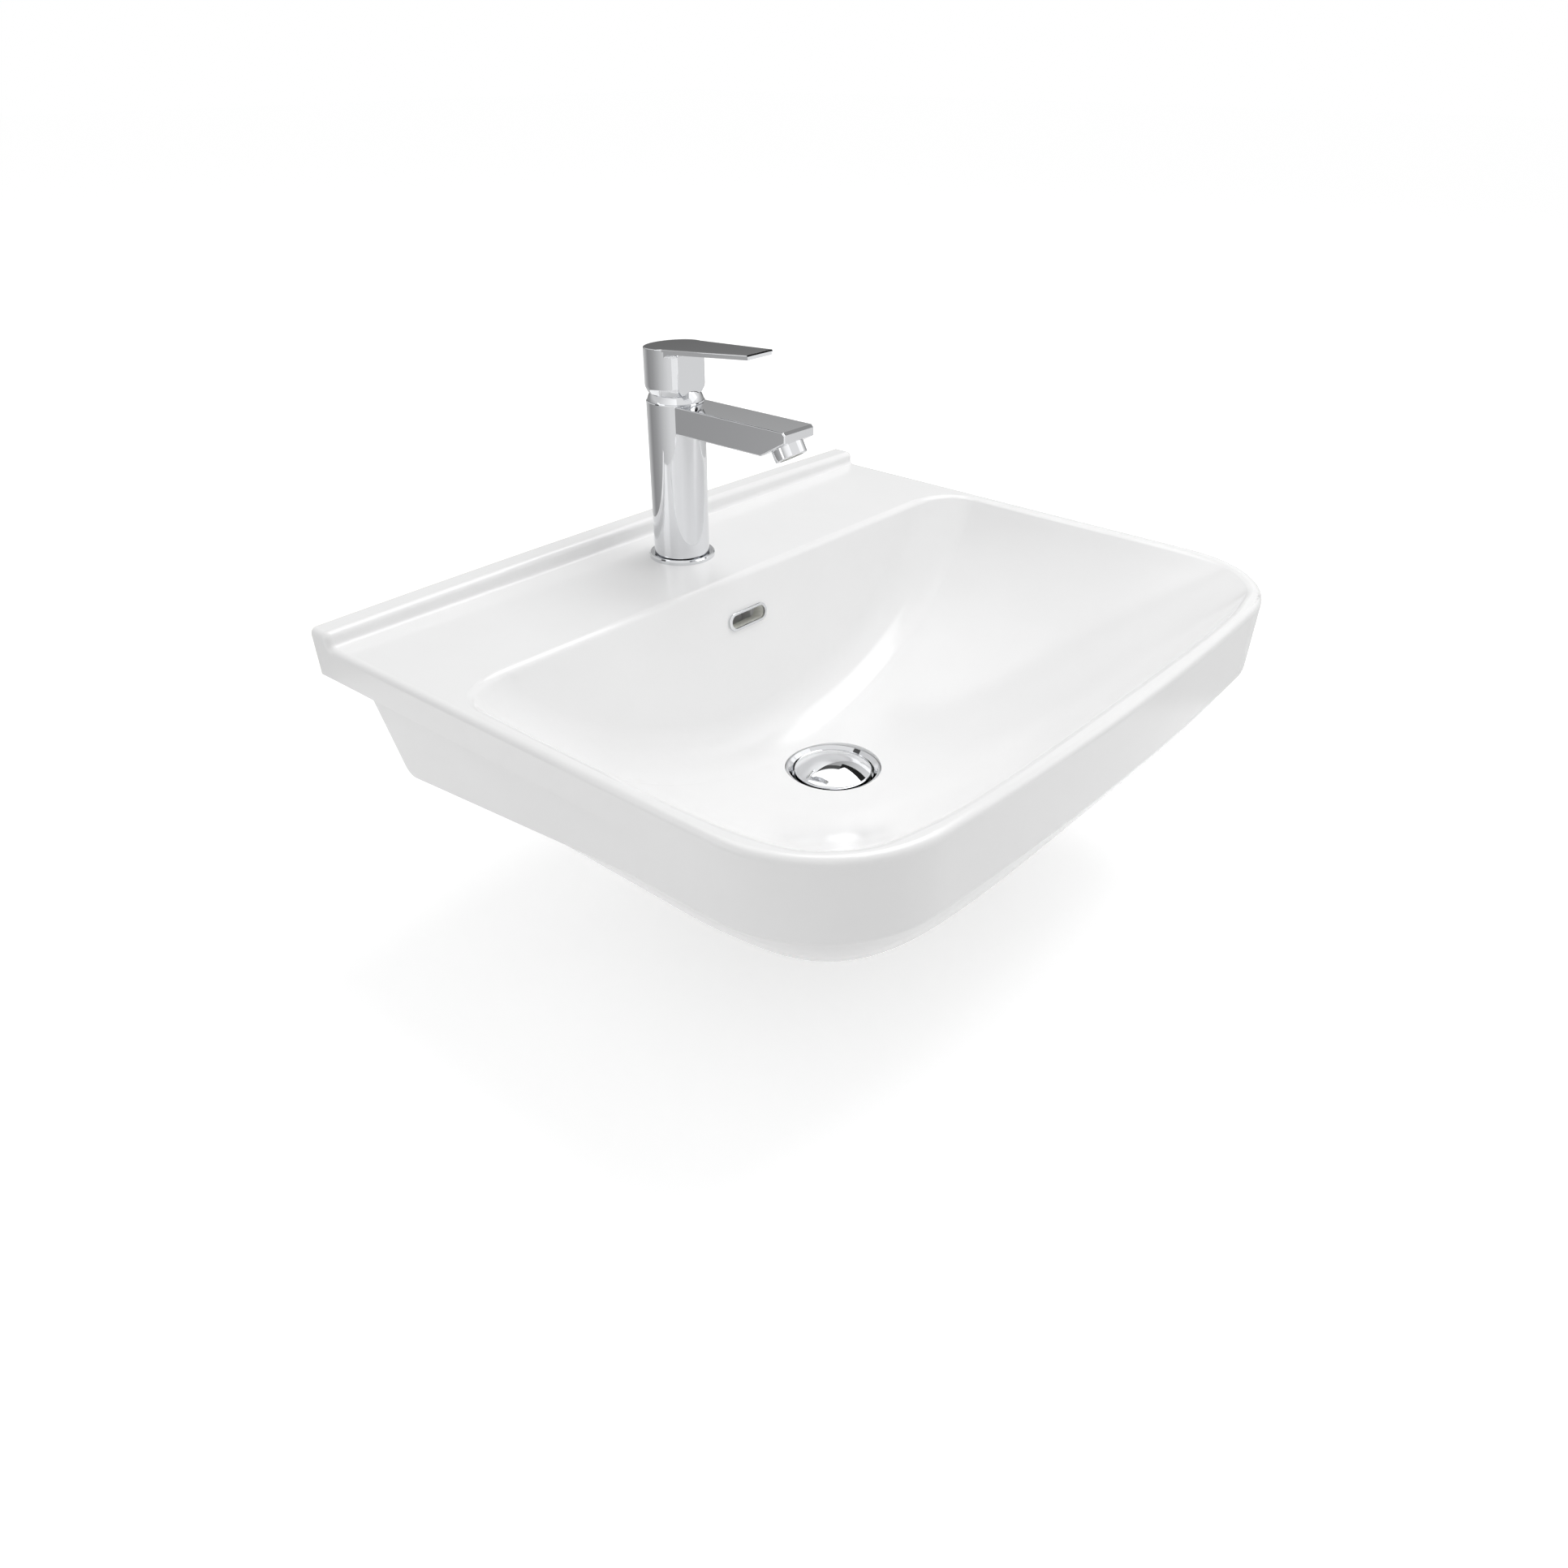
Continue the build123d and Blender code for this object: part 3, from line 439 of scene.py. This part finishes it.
def tentCloth(name, greys, lift):
    # grey by bearing round the tap, a little lighter with height
    material, tree, place = newMaterial(name)
    parts = addNode(tree, "ShaderNodeSeparateXYZ", links={0: place})
    forward = addNode(
        tree, "ShaderNodeMath", {"operation": "SUBTRACT", 1: tapAxis.y}, {0: parts.outputs["Y"]}
    )
    # bearings are measured from the tent's opening in front, at 250 degrees, so that none wraps
    opening = radians(250)
    east = addNode(
        tree,
        "ShaderNodeMath",
        {"operation": "MULTIPLY", 1: cos(-opening)},
        {0: parts.outputs["X"]},
    )
    eastToo = addNode(
        tree,
        "ShaderNodeMath",
        {"operation": "MULTIPLY_ADD", 1: -sin(-opening)},
        {0: forward.outputs[0], 2: east.outputs[0]},
    )
    north = addNode(
        tree,
        "ShaderNodeMath",
        {"operation": "MULTIPLY", 1: sin(-opening)},
        {0: parts.outputs["X"]},
    )
    northToo = addNode(
        tree,
        "ShaderNodeMath",
        {"operation": "MULTIPLY_ADD", 1: cos(-opening)},
        {0: forward.outputs[0], 2: north.outputs[0]},
    )
    angle = addNode(
        tree,
        "ShaderNodeMath",
        {"operation": "ARCTAN2"},
        {0: northToo.outputs[0], 1: eastToo.outputs[0]},
    )
    share = addNode(
        tree,
        "ShaderNodeMapRange",
        {"From Min": -pi, "From Max": pi, "To Min": 0.0, "To Max": 1.0},
        {"Value": angle.outputs[0]},
    )
    ramp = addNode(tree, "ShaderNodeValToRGB", links={0: share.outputs[0]})
    stops = [(((bearing - 250 + 180) % 360) / 360, grey) for bearing, grey in greys]
    marks = ramp.color_ramp.elements
    for spot, grey in sorted(stops)[:-2]:
        marks.new(spot)
    for mark, (spot, grey) in zip(marks, sorted(stops)):
        mark.position = spot
        mark.color = (grey, grey, grey, 1)
    raised = addNode(
        tree,
        "ShaderNodeMapRange",
        {"From Min": 0.3, "From Max": 1.0, "To Min": 0.0, "To Max": lift},
        {"Value": parts.outputs["Z"]},
    )
    level = addNode(
        tree, "ShaderNodeMath", {"operation": "ADD"}, {0: ramp.outputs["Color"], 1: raised.outputs[0]}
    )
    closeMaterial(
        tree,
        addNode(
            tree, "ShaderNodeEmission", {"Color": (1, 1, 1, 1)}, {"Strength": level.outputs[0]}
        ),
    )
    return material


def plainGlow(name, strength):
    material, tree, place = newMaterial(name)
    weave = addNode(tree, "ShaderNodeTexNoise", {"Scale": 8}, {"Vector": place})
    level = addNode(
        tree,
        "ShaderNodeMapRange",
        {"To Min": 0.97 * strength, "To Max": 1.03 * strength},
        {"Value": weave.outputs["Fac"]},
    )
    closeMaterial(
        tree,
        addNode(
            tree, "ShaderNodeEmission", {"Color": (1, 1, 1, 1)}, {"Strength": level.outputs[0]}
        ),
    )
    return material


wallCloth = tentCloth("tentWallCloth", tent["wallGreys"], tent["lift"])
floorCloth = tentCloth("tentFloorCloth", tent["floorGreys"], 0)
mirrorWall("tentWall", (-40, 230), (tent["floor"], tent["top"]), tent["radius"], 54, wallCloth)
mirrorWall(
    "tentBand", tent["bandBearings"], tent["bandHeights"], tent["radius"], 40, plainGlow("bandCloth", 0.1)
)
mirrorWall(
    "tentFlag", tent["flagBearings"], tent["flagHeights"], tent["radius"] - 0.05, 12, plainGlow("flagCloth", 0.02)
)
ceiling = bpy.data.meshes.new("tentCeiling")
facing = Matrix.Rotation(radians(tent["ceilingTurn"]), 3, "Z")
ceiling.from_pydata(
    [wasteAxis + facing @ Vector((x, y, tent["ceiling"])) for x, y in ((-0.2, -2.6), (4.5, -2.6), (4.5, 2.2), (-0.2, 2.2))],
    [],
    [(0, 1, 2, 3)],
)
ceiling.materials.append(plainGlow("ceilingCloth", 1.5))
hideFromAllButMirrors("tentCeiling", ceiling)
# the tent's floor behind and beside the basin
sheet = bpy.data.meshes.new("tentFloor")
ring = []
for i in range(73):
    turn = radians(-60 + 275 * i / 72)
    for radius in (0.62, tent["radius"]):
        ring.append((radius * cos(turn), -0.1 + radius * sin(turn), tent["floor"]))
sheet.from_pydata(ring, [], [(2 * i, 2 * i + 1, 2 * i + 3, 2 * i + 2) for i in range(72)])
sheet.materials.append(floorCloth)
hideFromAllButMirrors("tentFloor", sheet)

world = bpy.context.scene.world or bpy.data.worlds.new("studio")
bpy.context.scene.world = world
world.use_nodes = True
world.node_tree.nodes.clear()
skyTree = world.node_tree
rays = addNode(skyTree, "ShaderNodeLightPath").outputs
seen = addNode(
    skyTree,
    "ShaderNodeMath",
    {"operation": "MAXIMUM"},
    {0: rays["Is Camera Ray"], 1: rays["Is Transmission Ray"]},
)
seenToo = addNode(
    skyTree, "ShaderNodeMath", {"operation": "MAXIMUM"}, {0: seen.outputs[0], 1: rays["Is Glossy Ray"]}
)
dim = addNode(skyTree, "ShaderNodeBackground", {"Color": (1, 1, 1, 1), "Strength": studio["sky"]})
white = addNode(skyTree, "ShaderNodeBackground", {"Color": (1, 1, 1, 1), "Strength": 1})
blend = addNode(
    skyTree,
    "ShaderNodeMixShader",
    links={0: seenToo.outputs[0], 1: dim.outputs[0], 2: white.outputs[0]},
)
addNode(skyTree, "ShaderNodeOutputWorld", links={0: blend.outputs[0]})


def softbox(name, place, target, size, power):
    data = bpy.data.lights.new(name, "AREA")
    data.shape = "RECTANGLE"
    data.size, data.size_y = size
    data.energy = power
    lamp = bpy.data.objects.new(name, data)
    lamp.location = place
    lamp.rotation_euler = (Vector(target) - Vector(place)).to_track_quat("-Z", "Y").to_euler()
    bpy.context.scene.collection.objects.link(lamp)
    return lamp


softbox("frontLight", (1.5, -1.5, 1.4), (0, -0.2, 0), (1.6, 1.2), studio["frontPower"])
softbox("sideLight", (-1.8, 0.5, 0.3), (-0.2, -0.2, -0.05), (1.0, 0.8), studio["sidePower"])
softbox("topLight", (0.9, -0.35, 2.0), (0, -0.25, 0), (1.8, 1.4), studio["topPower"])
print("floor and lamps set")

# Camera at the photograph's height and angle
sight = {"place": (-0.63603, -0.72785, 0.34305), "along": (0.6451, 0.5631, -0.5165), "lens": 28.49}
camera = bpy.data.objects.new("camera", bpy.data.cameras.new("camera"))
camera.data.sensor_width = 36
camera.data.lens = sight["lens"]
camera.data.clip_start = 0.01
camera.data.clip_end = 100
camera.location = sight["place"]
camera.rotation_euler = Vector(sight["along"]).to_track_quat("-Z", "Y").to_euler()
bpy.context.scene.collection.objects.link(camera)
bpy.context.scene.camera = camera
bpy.context.scene.view_settings.view_transform = "Standard"

print("scene ready")
